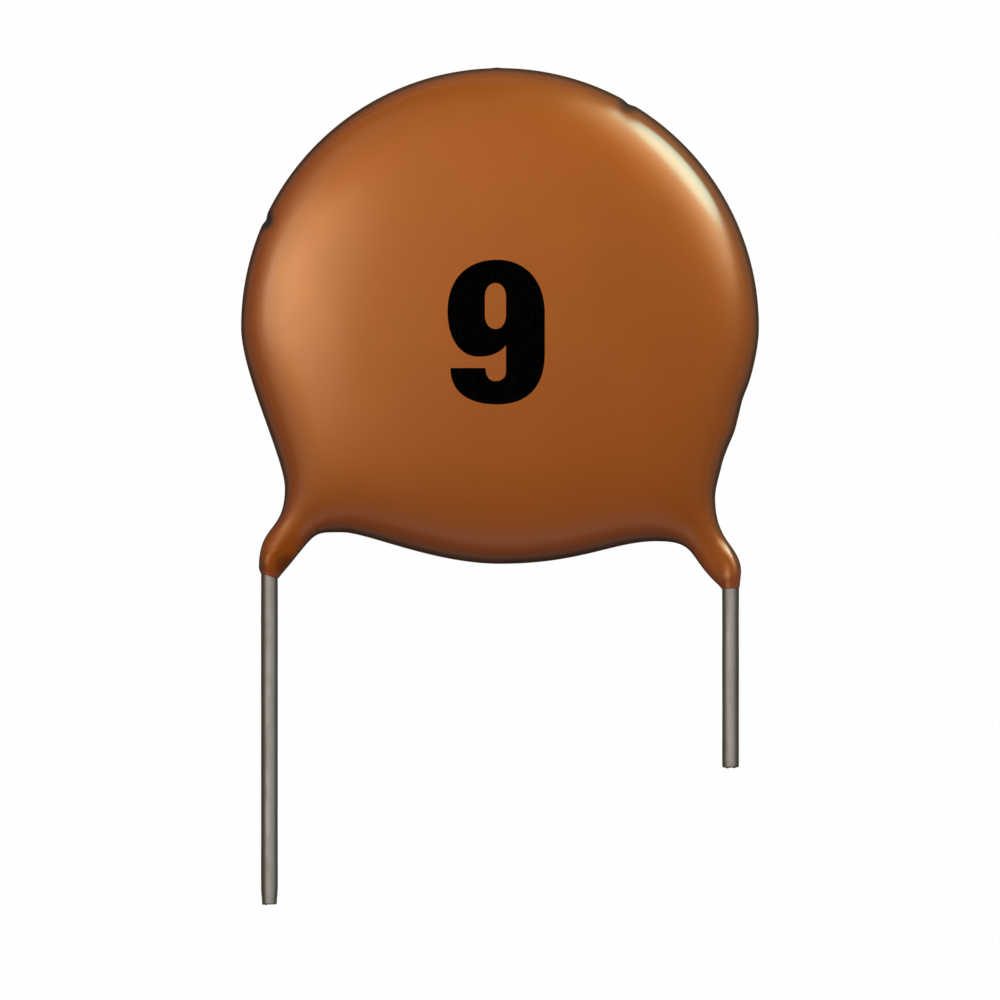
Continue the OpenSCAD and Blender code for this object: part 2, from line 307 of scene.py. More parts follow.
def wire_corners(side):
    """Corners of a lead's centre line, from its free end to its end on the disc."""
    face = FRONT if side == LEFT else REAR
    free_end = left_end if side == LEFT else right_end
    way = np.array([-side * math.sin(lean), math.cos(lean), 0])
    bend = np.array([side * lead_x, -bend_drop[side], 0])
    lift = np.array([0, 0, face * wire_height])
    return [
        np.array([side * lead_x, free_end, 0]),
        bend,
        bend + rise_start * way,
        bend + (rise_start + rise_run) * way + lift,
        bend + inner_run * way + lift,
    ]


def wire_route(side, step):
    """The same line with round bends, as points about a step apart."""
    corners = wire_corners(side)
    route = [corners[0]]
    for before, corner, after in zip(corners, corners[1:], corners[2:]):
        way_in = (corner - before) / np.linalg.norm(corner - before)
        way_out = (after - corner) / np.linalg.norm(after - corner)
        turn = math.acos(np.clip(way_in @ way_out, -1, 1))
        cut = bend_r * math.tan(turn / 2)
        start = corner - cut * way_in
        side_way = way_out - (way_out @ way_in) * way_in
        side_way /= np.linalg.norm(side_way)
        for angle in np.linspace(0, turn, bend_steps):
            route.append(
                start + bend_r * math.sin(angle) * way_in + bend_r * (1 - math.cos(angle)) * side_way
            )
    route.append(corners[-1])
    route = np.array(route)
    run = np.concatenate([[0], np.cumsum(np.linalg.norm(np.diff(route, axis=0), axis=1))])
    at = np.linspace(0, run[-1], round(run[-1] / step) + 1)
    return np.stack([np.interp(at, run, route[:, k]) for k in range(3)], 1)


# Resin over a wire above its bend, and the widest half of the mound that it makes
leg_film = 0.09
mound_half = 0.6
# Distances beyond the bend over which the mound takes the width of the leg, and the film thickens
widening_run = 0.6
thickening_run = 1.5
# Distance from the end of the dip over which its film thickens
ending_run = 0.45
# Section of a leg: a rounded edge, then sloping flanks up to a rounded crest
edge_round = 0.08
edge_height = 0.13
flank_slope = 0.72
crest_round = 0.08
# How much wider than its wire a leg is where its section has changed from a dome to a roof
roof_widening = 0.14
# Steps along a wire under the film, and how far past the end of the dip they start
film_step = 0.08
film_margin = 0.3
# Roundness of the hollow between a leg and the body
root_round = 0.06


def eased(share):
    """A smooth rise from 0 to 1."""
    share = np.clip(share, 0, 1)
    return share * share * (3 - 2 * share)


def roof(from_edge, peak):
    """Height of a leg's section at a distance from its edge."""
    rounded = edge_height * np.sqrt(np.clip(1 - (1 - np.clip(from_edge / edge_round, 0, 1)) ** 2, 0, 1))
    sloped = rounded + flank_slope * np.clip(from_edge - edge_round, 0, None)
    return peak - softer_max(peak - sloped, np.zeros_like(sloped), crest_round)


def film_height(flat, loop, side, face):
    """Height of the resin over a lead, as it would be without the body of the coat."""
    leg = SIDES[side]
    route = wire_route(side, film_step)
    route = route[route[:, 1] > -leg["inner_end"] - film_margin]
    room = nearest(route[:, :2], loop)
    bend, beyond = wire_corners(side)[1:3]
    way = (beyond - bend) / np.linalg.norm(beyond - bend)
    height = np.zeros(len(flat))
    across = side * (flat[:, 0] - side * lead_x)
    end = leg["outer_end"] + (leg["inner_end"] - leg["outer_end"]) * (wire_r - across) / (2 * wire_r)
    depth = -flat[:, 1]
    film = end_film + (tip_film - end_film) * eased((end - depth) / ending_run)
    for centre, gap_there in zip(route, room):
        run = max((centre - bend) @ way, 0)
        gap = np.hypot(flat[:, 0] - centre[0], flat[:, 1] - centre[1])
        reach = wire_r + film
        peak = face * centre[2] + reach + (leg_film - tip_film) * eased(run / thickening_run)
        wide = max(min(gap_there, mound_half), wire_r + tip_film)
        half = reach + (wide - reach) * eased(run / widening_run)
        domed = peak * np.sqrt(np.clip(1 - (gap / half) ** 2, 0, None))
        roofed = roof(half - gap, peak)
        top = domed + (roofed - domed) * eased((half - reach) / roof_widening)
        height = np.maximum(height, np.where(gap < half, top, 0))
    return np.where(depth < end, height, 0)


def softer_max(a, b, widest):
    """The greater of two heights, with the step between them rounded where both are high enough."""
    blend = np.clip(np.minimum(a, b), 1e-6, widest)
    share = np.clip(0.5 + (a - b) / (2 * blend), 0, 1)
    return b + (a - b) * share + blend * share * (1 - share)


# Small dents and chips in the faces: where, how wide, how deep
FACE_MARKS = {
    FRONT: [((4.1, 7.05), 0.3, 0.015), ((-7.58, 3.42), 0.16, 0.16), ((3.6, 7.35), 0.5, -0.008)],
    REAR: [((2.4, -3.1), 0.35, 0.02), ((-4.7, 4.2), 0.25, 0.03)],
}
# Unevenness of a dipped face: how long the waves are, and how high
WAVES = [(5.2, 0.02), (1.9, 0.0035), (0.75, 0.0011)]
WAVE_PLACE = {FRONT: Vector((11.3, 4.7, 2.1)), REAR: Vector((3.9, 17.2, 8.8))}
# Distances from the edge over which the waves and the dents fade in
wave_fade = 1.2
mark_fade = 0.1


def wavy(flat, face):
    """Unevenness of a face at each point."""
    start = WAVE_PLACE[face]
    out = np.zeros(len(flat))
    for length, height in WAVES:
        spots = flat / length
        out += height * np.array([noise.noise(Vector((x, y, 0)) + start) for x, y in spots])
    return out


def face_height(flat, loop, share, edge_gap, face):
    """Height of one face above the middle plane."""
    radius = np.linalg.norm(flat, axis=1)
    dome = 1 - crown * (radius / coat_r) ** 2
    height = half_t * share * dome
    height += wavy(flat, face) * np.clip(edge_gap / wave_fade, 0, 1)
    for place, width, depth in FACE_MARKS[face]:
        away = np.linalg.norm(flat - place, axis=1)
        height -= depth * np.exp(-((away / width) ** 2)) * np.clip(edge_gap / mark_fade, 0, 1)
    for side in (LEFT, RIGHT):
        film = film_height(flat, loop, side, face)
        near = film > 0
        height[near] = softer_max(height[near], film[near], root_round)
    return np.clip(height, 0, half_t)


# Meshes

def new_object(name, vertices, faces, material):
    """A mesh object from places in millimetres, with smooth faces."""
    mesh = bpy.data.meshes.new(name)
    mesh.from_pydata((np.asarray(vertices) * MM).tolist(), [], [list(map(int, f)) for f in faces])
    mesh.validate()
    mesh.polygons.foreach_set("use_smooth", [True] * len(mesh.polygons))
    mesh.materials.append(material)
    piece = bpy.data.objects.new(name, mesh)
    bpy.context.scene.collection.objects.link(piece)
    return piece


outline_step = 0.07
hex_spacing = 0.17
roll_rings = 13
roll_depth = 1.5
# Least share of its ring's depth that a kept point lies inside the outline, and the lower share that is
# asked of the outermost rings, which are those less deep than close_ring of a step
ring_share = 0.985
close_share = 0.8
close_ring = 0.7
# Gap between the outline and the honeycomb, and the share of its spacing that it keeps from the rings
hex_gap = 0.1
hex_share = 0.62


def coat_mesh_points(loop):
    """Points inside the outline: rings that crowd towards its edge, then a honeycomb."""
    inward = inward_normals(loop)
    kept = []
    for ring in range(1, roll_rings + 1):
        depth = roll_depth * (1 - math.cos(math.radians(90 * ring / roll_rings)))
        candidates = loop + depth * inward
        least = close_share if depth < close_ring * outline_step else ring_share
        kept.append(candidates[nearest(candidates, loop) > least * depth])
    rings = np.concatenate(kept)
    honeycomb = hex_points(loop, hex_spacing)
    honeycomb = honeycomb[inside(honeycomb, loop)]
    honeycomb = honeycomb[nearest(honeycomb, loop) > hex_gap]
    honeycomb = honeycomb[nearest(honeycomb, rings) > hex_share * hex_spacing]
    return np.concatenate([rings, honeycomb])


def make_coat(material):
    """The dipped resin: two faces that meet along the outline."""
    loop = coat_outline(outline_step)
    flat, triangles, on_edge = filled([loop], coat_mesh_points(loop))
    share = inflated(flat, triangles, on_edge)
    edge_gap = nearest(flat, loop)
    count = len(flat)
    inner = np.flatnonzero(~on_edge)
    rear_number = np.arange(count)
    rear_number[inner] = count + np.arange(len(inner))
    heights = {
        face: face_height(flat, loop, share, edge_gap, face) * ~on_edge for face in (FRONT, REAR)
    }
    front = np.column_stack([flat, middle + heights[FRONT]])
    rear = np.column_stack([flat, middle - heights[REAR]])[inner]
    faces = np.concatenate([triangles, rear_number[triangles][:, ::-1]])
    return new_object("coat", np.concatenate([front, rear]), faces, material)


# The printed figure: corners and curves of a heavy, round 9, by place in millimetres
NINE_TOP = point(-0.088, 2.114)
NINE_LEFT = point(-1.69, 0.454)
BOWL_LOW = point(-0.69, -1.01)
BOWL_JOIN = point(0.195, -0.64)
STEM_LOW = point(0.195, -1.474)
HOOK_LOW = point(-0.15, -1.801)
TAIL_RIGHT = point(-0.465, -1.377)
TAIL_LEFT = point(-1.598, -1.377)
NINE_LOW = point(-0.088, -2.549)
BACK_LOW = point(1.443, -0.897)
BACK_HIGH = point(1.443, 0.391)
EYE_X = -0.146
EYE_HALF_W = 0.342
EYE_TOP = 1.363
EYE_LOW = -0.119
EYE_ROUND = 0.46
ink_thickness = 0.012
ink_root = 0.02
ink_edge_share = 0.35
ink_bevel = 0.02
ink_step = 0.05
ink_spacing = 0.12
ink_gap = 0.06
least_bevel = 0.017


def quarter(a, b, first_along_x, fullness=0.6, steps=24):
    """A quarter of a rounded box from a to b, leaving a along x or along y."""
    gap = b - a
    if first_along_x:
        return curve(a, a + (fullness * gap[0], 0), b - (0, fullness * gap[1]), b, steps)
    return curve(a, a + (0, fullness * gap[1]), b - (fullness * gap[0], 0), b, steps)


def nine_outline():
    """The outer edge of the 9, anticlockwise from its top."""
    bowl_rise = BOWL_JOIN - BOWL_LOW
    return np.concatenate([
        quarter(NINE_TOP, NINE_LEFT, True, 0.62),
        quarter(NINE_LEFT, BOWL_LOW, False, 0.6),
        curve(
            BOWL_LOW, BOWL_LOW + (0.55 * bowl_rise[0], 0),
            BOWL_JOIN - (0.16 * bowl_rise[0], 0.5 * bowl_rise[1]), BOWL_JOIN, 16,
        ),
        straight(BOWL_JOIN, STEM_LOW, 12),
        quarter(STEM_LOW, HOOK_LOW, False, 0.62, 12),
        quarter(HOOK_LOW, TAIL_RIGHT, True, 0.62, 12),
        straight(TAIL_RIGHT, TAIL_LEFT, 16),
        quarter(TAIL_LEFT, NINE_LOW, False, 0.64),
        quarter(NINE_LOW, BACK_LOW, True, 0.65),
        straight(BACK_LOW, BACK_HIGH, 16),
        quarter(BACK_HIGH, NINE_TOP, False, 0.6),
    ])


def eye_outline():
    """The slot in the bowl of the 9, anticlockwise from its top."""
    top, low = point(EYE_X, EYE_TOP), point(EYE_X, EYE_LOW)
    reach = point(EYE_HALF_W, 0)
    high, deep = point(EYE_X, EYE_TOP - EYE_ROUND), point(EYE_X, EYE_LOW + EYE_ROUND)
    return np.concatenate([
        quarter(top, high - reach, True, 0.6, 12),
        straight(high - reach, deep - reach, 10),
        quarter(deep - reach, low, False, 0.6, 12),
        quarter(low, deep + reach, True, 0.6, 12),
        straight(deep + reach, high + reach, 10),
        quarter(high + reach, top, False, 0.6, 12),
    ])


def make_nine(coat, material):
    """A thin layer of ink that follows the coat, with a slightly rounded edge."""
    outer = even_steps(nine_outline(), ink_step)
    eye = even_steps(eye_outline(), ink_step)
    honeycomb = hex_points(outer, ink_spacing)
    honeycomb = honeycomb[inside(honeycomb, outer) & ~inside(honeycomb, eye)]
    rim = np.concatenate([outer, eye])
    honeycomb = honeycomb[nearest(honeycomb, rim) > ink_gap]
    inset = np.concatenate([loop + ink_bevel * inward_normals(loop) for loop in (outer, eye[::-1])])
    inset = inset[nearest(inset, rim) > least_bevel]
    flat, triangles, on_edge = filled([outer, eye], np.concatenate([inset, honeycomb]))
    tree = BVHTree.FromPolygons(
        [v.co / MM for v in coat.data.vertices],
        [p.vertices[:] for p in coat.data.polygons],
    )
    above = 2 * half_t + 1
    ground = np.array([tree.ray_cast(Vector((x, y, above)), Vector((0, 0, -1)))[0].z for x, y in flat])
    lift = np.where(on_edge, ink_edge_share * ink_thickness, ink_thickness)
    top = np.column_stack([flat, ground + lift])
    low = np.column_stack([flat, ground - ink_root])
    count = len(flat)
    sides = [(int(t[k]), int(t[(k + 1) % 3])) for t in triangles for k in range(3)]
    shared = set(sides)
    walls = [(a, a + count, b + count, b) for a, b in sides if (b, a) not in shared]
    faces = [*triangles, *(triangles[:, ::-1] + count), *walls]
    return new_object("numeral", np.concatenate([top, low]), faces, material)


# Leads

ring_points = 36
route_step = 0.06
# Share by which the tinned surface swells and thins, slowly along the wire and quickly round it
tin_swell = 0.012
swell_length = 1.6
tin_ripple = 0.006
ripple_length = 0.45
ripple_rounds = 2
# Places in the noise where each lead starts
swell_place = 7.0
swell_row = 0.4
ripple_place = 31
ragged_place = 5
# Sheared free ends: share of the width that is left, the run over which it narrows, and how ragged they are
END_TAPER = {LEFT: 0.88, RIGHT: 0.97}
TAPER_RUN = {LEFT: 0.3, RIGHT: 0.06}
end_ragged = 0.05
ragged_rounds = 3
# Rings of an end cap: share of the width, and how far each bulges
CAP_RINGS = [(0.93, 0.012), (0.6, 0.02), (0.25, 0.012)]
cap_jag = 0.012
jag_fineness = 6
jag_step = 9
cap_tip = 0.01


def make_lead(side, material):
    """A tinned wire along its whole route, with uneven tinning and a sheared free end."""
    route = wire_route(side, route_step)
    ways = np.gradient(route, axis=0)
    ways /= np.linalg.norm(ways, axis=1)[:, None]
    up = np.array([0, 0, 1.0])
    angles = np.linspace(0, 2 * math.pi, ring_points, endpoint=False)
    vertices, faces = [], []
    for number, (centre, way) in enumerate(zip(route, ways)):
        first = np.cross(way, up)
        first /= np.linalg.norm(first)
        second = np.cross(first, way)
        run = number * route_step
        taper = 1 - (1 - END_TAPER[side]) * math.exp(-((run / TAPER_RUN[side]) ** 2))
        slow = noise.noise(Vector((side * swell_place, run / swell_length, swell_row)))
        for angle in angles:
            c, s = math.cos(angle), math.sin(angle)
            beside = run / ripple_length + side * ripple_place
            quick = noise.noise(Vector((ripple_rounds * c, ripple_rounds * s, beside)))
            r = wire_r * taper * (1 + tin_swell * slow + tin_ripple * quick)
            ragged = 0.0
            if number == 0:
                around = Vector((ragged_rounds * c, ragged_rounds * s, side * ragged_place))
                ragged = end_ragged * noise.noise(around)
            vertices.append(centre + r * (c * first + s * second) + ragged * way)
        if number:
            join_rings(faces, (number - 1) * ring_points, number * ring_points, False)
    add_cap(vertices, faces, 0, route[0], -ways[0], side)
    add_cap(vertices, faces, (len(route) - 1) * ring_points, route[-1], ways[-1], side)
    name = "left_wire" if side == LEFT else "right_wire"
    return new_object(name, np.asarray(vertices) + (0, 0, middle), faces, material)


def add_cap(vertices, faces, start, centre, outward, side):
    """Closes an end of the wire with rings that bulge a little, as shears leave it."""
    ring = [vertices[start + k] for k in range(ring_points)]
    flipped = start == 0
    previous = start
    for share, bulge in CAP_RINGS:
        first_new = len(vertices)
        for place in ring:
            spot = Vector(place) * jag_fineness + Vector((side, share * jag_step, 0))
            jag = cap_jag * noise.noise(spot)
            vertices.append(centre + share * (place - centre) + (bulge + jag) * outward)
        join_rings(faces, previous, first_new, flipped)
        previous = first_new
    tip = len(vertices)
    vertices.append(centre + cap_tip * outward)
    for k in range(ring_points):
        a, b = previous + k, previous + (k + 1) % ring_points
        faces.append((b, a, tip) if flipped else (a, b, tip))


def join_rings(faces, a, b, flipped):
    """Quads between two rings of the wire that start at vertices a and b."""
    for k in range(ring_points):
        other = (k + 1) % ring_points
        quad = (a + k, a + other, b + other, b + k)
        faces.append(quad[::-1] if flipped else quad)


# Materials

def set_range(node, low, high, to_low, to_high):
    """Sets the four limits of a Map Range node."""
    for socket, number in zip(("From Min", "From Max", "To Min", "To Max"), (low, high, to_low, to_high)):
        node.inputs[socket].default_value = number


class Shader:
    """A material with a Principled shader, and short calls for the nodes that feed it."""

    def __init__(self, name, **settings):
        self.material = bpy.data.materials.new(name)
        self.material.use_nodes = True
        self.tree = self.material.node_tree
        self.principled = self.tree.nodes["Principled BSDF"]
        self.place = self.node("ShaderNodeTexCoord").outputs["Object"]
        for socket, value in settings.items():
            self.principled.inputs[socket.replace("_", " ")].default_value = value

    def node(self, kind, **properties):
        made = self.tree.nodes.new(kind)
        for key, value in properties.items():
            setattr(made, key, value)
        return made

    def feed(self, socket, value):
        if isinstance(value, bpy.types.NodeSocket):
            self.tree.links.new(value, socket)
        else:
            socket.default_value = value

    def math(self, operation, a, b=0.0):
        made = self.node("ShaderNodeMath", operation=operation)
        for socket, value in zip(made.inputs, (a, b)):
            self.feed(socket, value)
        return made.outputs[0]

    def noise(self, size, detail=3.0, roughness=0.5, stretch=(1, 1, 1)):
        """Noise whose features are about size millimetres across."""
        mapping = self.node("ShaderNodeMapping")
        self.feed(mapping.inputs["Vector"], self.place)
        mapping.inputs["Scale"].default_value = [s / (size * MM) for s in stretch]
        made = self.node("ShaderNodeTexNoise")
        self.feed(made.inputs["Vector"], mapping.outputs[0])
        made.inputs["Scale"].default_value = 1
        made.inputs["Detail"].default_value = detail
        made.inputs["Roughness"].default_value = roughness
        return made.outputs["Fac"]

    def spread(self, value, low, high, to_low=0.0, to_high=1.0, smooth=True):
        """A value carried from one range to another."""
        made = self.node("ShaderNodeMapRange", interpolation_type="SMOOTHSTEP" if smooth else "LINEAR")
        self.feed(made.inputs["Value"], value)
        set_range(made, low, high, to_low, to_high)
        return made.outputs["Result"]

    def mix(self, share, a, b):
        made = self.node("ShaderNodeMix", data_type="RGBA", blend_type="MIX")
        self.feed(made.inputs["Factor"], share)
        for socket, value in ((made.inputs[6], a), (made.inputs[7], b)):
            self.feed(socket, value if isinstance(value, bpy.types.NodeSocket) else (*value, 1.0))
        return made.outputs[2]

    def coordinate(self, axis):
        split = self.node("ShaderNodeSeparateXYZ")
        self.feed(split.inputs[0], self.place)
        return split.outputs[axis]

    def upright(self):
        """1 where the surface lies level, 0 where it stands on edge."""
        coordinates = self.node("ShaderNodeTexCoord")
        split = self.node("ShaderNodeSeparateXYZ")
        self.feed(split.inputs[0], coordinates.outputs["Normal"])
        return self.math("ABSOLUTE", split.outputs["Z"])

    def distance_mm(self, x, y, z):
        """Distance in millimetres from a place, whose z is counted from the middle plane."""
        made = self.node("ShaderNodeVectorMath", operation="DISTANCE")
        self.feed(made.inputs[0], self.place)
        made.inputs[1].default_value = (x * MM, y * MM, (middle + z) * MM)
        return self.math("DIVIDE", made.outputs["Value"], MM)

    def bump(self, height, depth_mm, normal=None):
        """A surface with bumps of a depth in millimetres, on top of another where one is given."""
        made = self.node("ShaderNodeBump")
        made.inputs["Strength"].default_value = 1
        made.inputs["Distance"].default_value = depth_mm * MM
        self.feed(made.inputs["Height"], height)
        if normal is not None:
            self.feed(made.inputs["Normal"], normal)
        return made.outputs[0]

    def set(self, socket, value):
        self.feed(self.principled.inputs[socket], value)


def srgb(red, green, blue):
    """A colour written as 0 to 255, as the shader takes it."""
    def linear(level):
        share = level / 255
        return share / 12.92 if share <= 0.04045 else ((share + 0.055) / 1.055) ** 2.4
    return linear(red), linear(green), linear(blue)


RESIN = srgb(123, 59, 12)
RESIN_WARM = srgb(127, 61, 12)
RESIN_DULL = srgb(119, 58, 13)
RESIN_PAINTED_SHADE = srgb(108, 49, 9)
DARK_SPECK_AND_RIM_SHADE = srgb(46, 24, 5)
RESIN_TIP = srgb(96, 42, 20)
RESIN_SHEEN = (1.0, 0.4, 0.1)
RIM_SHEEN = (0.12, 0.05, 0.02)
DARK_MARK = srgb(14, 12, 10)
# Dirt in the chips of the rim, and dark spots at the end of the left leg: place from the middle plane,
# reach, strength
DARK_SPOTS = [
    (-7.6, 3.45, 0.35, 0.52, 0.98), (4.12, 7.14, 0.5, 0.45, 0.75),
    (-6.98, -7.72, 0.12, 0.5, 0.5), (-7.75, -7.82, 0.12, 0.35, 0.45),
]
# Where a dark spot is full, as a share of its reach
spot_core = 0.3
# Where the left leg's skin is matt: place from the middle plane, reach of the full and of any effect
MATT_PLACE = (-7.4, -7.2, 0.3)
matt_core = 0.5
matt_reach = 1.35
matt_gloss = 0.25
# Heights below the disc's axis between which painted shade darkens the resin, and those where it ends
# redder
PAINTED_SHADE_BELOW = (-5, 7.5)
REDDER_BELOW = (7.7, 8.15)
# Uprightness at which the rim's painted shade, its dullness and its duller sheen give way to the face's
RIM_PAINTED_SHADE = (0.34, 0.85)
RIM_DULL = (0.3, 0.74)
RIM_SHINE = (0.68, 0.88)
# Uprightness at which the clear gloss starts, and at which it thins again on the flat of the face
GLOSS_START = (0.73, 0.785)
GLOSS_THINS = (0.86, 0.97)
face_gloss = 0.35


def resin_material():
    """Glossy copper-brown dip, with painted shade at its rim and towards the bottom, duller where it thins
    over the rim, redder where it ends.
    """
    s = Shader("resin_coat", Specular_IOR_Level=1.0, Coat_Roughness=0.18, Coat_IOR=1.5)
    clouds = s.noise(4.5, 3, 0.55)
    colour = s.mix(s.spread(clouds, 0.38, 0.62), RESIN_DULL, RESIN_WARM)
    colour = s.mix(0.5, RESIN, colour)
    speckle = s.noise(0.12, 2, 0.6)
    colour = s.mix(s.spread(speckle, 0.66, 0.8, 0, 0.35), colour, DARK_SPECK_AND_RIM_SHADE)
    below = s.math("DIVIDE", s.coordinate("Y"), -MM)
    # Painted shade: the resin darkens towards the bottom
    colour = s.mix(s.spread(below, *PAINTED_SHADE_BELOW, 0.0, 1.0, smooth=False), colour, RESIN_PAINTED_SHADE)
    upright = s.upright()
    # Painted shade: the resin darkens where the surface stands on edge, round the rim
    colour = s.mix(s.spread(upright, *RIM_PAINTED_SHADE, 0.97, 0.0), colour, DARK_SPECK_AND_RIM_SHADE)
    colour = s.mix(s.spread(below, *REDDER_BELOW, 0.0, 0.85), colour, RESIN_TIP)
    clean = s.spread(s.distance_mm(*MATT_PLACE), matt_core, matt_reach, matt_gloss, 1.0)
    for x, y, z, size, strength in DARK_SPOTS:
        far = s.distance_mm(x, y, z)
        colour = s.mix(s.spread(far, spot_core * size, size, strength, 0.0), colour, DARK_MARK)
        clean = s.math("MULTIPLY", clean, s.spread(far, spot_core * size, size, 1 - strength, 1.0))
    s.set("Base Color", colour)
    smears = s.noise(2.6, 4, 0.6)
    dull = s.spread(upright, *RIM_DULL, 0.55, 0.0)
    s.set("Roughness", s.math("ADD", s.spread(smears, 0.3, 0.7, 0.36, 0.42), dull))
    bright = s.math("MULTIPLY", clean, s.spread(upright, *RIM_SHINE))
    s.set("Specular Tint", s.mix(bright, RIM_SHEEN, RESIN_SHEEN))
    glaze = s.math(
        "MULTIPLY", s.spread(upright, *GLOSS_START), s.spread(upright, *GLOSS_THINS, 1.0, face_gloss),
    )
    s.set("Coat Weight", s.math("MULTIPLY", clean, glaze))
    peel = s.bump(s.noise(0.55, 2, 0.5), 0.002)
    s.set("Normal", s.bump(speckle, 0.0006, peel))
    return s.material


def ink_material():
    """Matt black stamping ink."""
    s = Shader("marking_ink", Specular_IOR_Level=0.0)
    grain = s.noise(0.09, 3, 0.6)
    s.set("Base Color", s.mix(s.spread(grain, 0.3, 0.75), srgb(0, 0, 0), srgb(5, 5, 4)))
    s.set("Roughness", s.spread(grain, 0.3, 0.7, 0.68, 0.85))
    s.set("Normal", s.bump(grain, 0.003))
    return s.material


TIN = srgb(138, 133, 141)
TIN_DULL = srgb(122, 118, 120)
WIRE_FLANK_SHADE = srgb(56, 52, 41)
OUTER_FLANK_SHADE = srgb(58, 45, 37)
# Uprightness between which the flanks carry painted shade, and millimetres outside the axis where the outer
# flank's brown painted shade lies
FLANK_SHADE_UPRIGHT = (0.6, 1.0)
OUTER_SHADE_FROM = (0.02, 0.22)


def tin_material():
    """Tinned wire: dull grey metal with drawn lines and patches, painted shade on its flanks, and brown
    painted shade along the outer one.
    """
    s = Shader("tinned_wire", Metallic=0.55, Specular_IOR_Level=0.2)
    lines = s.noise(0.05, 2, 0.5, stretch=(1, 0.03, 1))
    patches = s.noise(0.6, 4, 0.6, stretch=(1, 0.4, 1))
    colour = s.mix(s.spread(patches, 0.35, 0.7, 0.0, 0.6), TIN, TIN_DULL)
    # Painted shade: the wire darkens on its flanks, where the surface stands on edge
    colour = s.mix(s.spread(s.upright(), *FLANK_SHADE_UPRIGHT, 1.0, 0.0, smooth=False), colour, WIRE_FLANK_SHADE)
    across = s.math("ABSOLUTE", s.coordinate("X"))
    outer_shade_start, outer_shade_full = ((lead_x + outside) * MM for outside in OUTER_SHADE_FROM)
    # Painted shade: a brown band along the outer flank of each lead
    colour = s.mix(s.spread(across, outer_shade_start, outer_shade_full, 0.0, 0.75), colour, OUTER_FLANK_SHADE)
    s.set("Base Color", colour)
    s.set("Roughness", s.spread(patches, 0.3, 0.7, 0.5, 0.66))
    s.set("Normal", s.bump(patches, 0.004, s.bump(lines, 0.0015)))
    return s.material


def ceramic_material():
    """Fired ceramic: cream, matt and faintly speckled."""
    s = Shader("fired_ceramic", Roughness=0.7, Specular_IOR_Level=0.3)
    grain = s.noise(0.14, 4, 0.65)
    s.set("Base Color", s.mix(s.spread(grain, 0.3, 0.7), srgb(222, 208, 182), srgb(205, 190, 160)))
    s.set("Roughness", s.spread(grain, 0.3, 0.7, 0.6, 0.8))
    s.set("Normal", s.bump(grain, 0.004))
    return s.material


def silver_material():
    """Fired silver: pale, satin, with the weave of the screen that printed it."""
    s = Shader("fired_silver", Metallic=1.0)
    weave = s.noise(0.11, 1, 0.4, stretch=(1, 1, 0.1))
    s.set("Base Color", s.mix(s.spread(weave, 0.35, 0.65), srgb(214, 212, 206), srgb(196, 193, 186)))
    s.set("Roughness", s.spread(weave, 0.3, 0.7, 0.32, 0.5))
    s.set("Normal", s.bump(weave, 0.002))
    return s.material


def solder_material():
    """Solder: bright, with frosty patches."""
    s = Shader("solder", Metallic=1.0)
    frost = s.noise(0.4, 4, 0.6)
    s.set("Base Color", s.mix(s.spread(frost, 0.35, 0.65), srgb(196, 195, 192), srgb(172, 170, 166)))
    s.set("Roughness", s.spread(frost, 0.3, 0.7, 0.2, 0.42))
    s.set("Normal", s.bump(frost, 0.01))
    return s.material


# Floor, light and camera

floor_half = 3.0
floor_white = 0.99
floor_grey = 0.3


def joined(tree, operation, a, b):
    """A Math node with two inputs, each a socket or a number."""
    made = tree.nodes.new("ShaderNodeMath")
    made.operation = operation
    for socket, value in zip(made.inputs, (a, b)):
        if isinstance(value, bpy.types.NodeSocket):
            tree.links.new(value, socket)
        else:
            socket.default_value = value
    return made.outputs[0]


def seen_share(tree):
    """1 for what the camera sees, straight or in a reflection or through glass, and 0 for light."""
    path = tree.nodes.new("ShaderNodeLightPath")
    mirrored = joined(tree, "ADD", path.outputs["Is Glossy Ray"], path.outputs["Is Transmission Ray"])
    return joined(tree, "MINIMUM", joined(tree, "ADD", path.outputs["Is Camera Ray"], mirrored), 1)


def floor_material():
    """Plain white, which stays white for the camera and in reflections, and keeps a soft shadow."""
    material = bpy.data.materials.new("floor_white")
    material.use_nodes = True
    tree = material.node_tree
    tree.nodes.clear()
    output = tree.nodes.new("ShaderNodeOutputMaterial")
    mix = tree.nodes.new("ShaderNodeMixShader")
    plain = tree.nodes.new("ShaderNodeBsdfDiffuse")
    plain.inputs["Color"].default_value = (floor_grey, floor_grey, floor_grey, 1)
    white = tree.nodes.new("ShaderNodeEmission")
    white.inputs["Color"].default_value = (1, 1, 1, 1)
    white.inputs["Strength"].default_value = 1
    tree.links.new(joined(tree, "MULTIPLY", seen_share(tree), floor_white), mix.inputs[0])
    tree.links.new(plain.outputs[0], mix.inputs[1])
    tree.links.new(white.outputs[0], mix.inputs[2])
    tree.links.new(mix.outputs[0], output.inputs[0])
    return material


def make_floor():
    mesh = bpy.data.meshes.new("floor")
    corners = [(-1, -1), (1, -1), (1, 1), (-1, 1)]
    mesh.from_pydata([(x * floor_half, y * floor_half, 0) for x, y in corners], [], [(0, 1, 2, 3)])
    mesh.materials.append(floor_material())
    floor = bpy.data.objects.new("floor", mesh)
    bpy.context.scene.collection.objects.link(floor)


def direction(azimuth, elevation):
    """Unit vector towards a light. Azimuth is counted from +X towards +Y."""
    a, e = math.radians(azimuth), math.radians(elevation)
    return Vector((math.cos(a) * math.cos(e), math.sin(a) * math.cos(e), math.sin(e)))


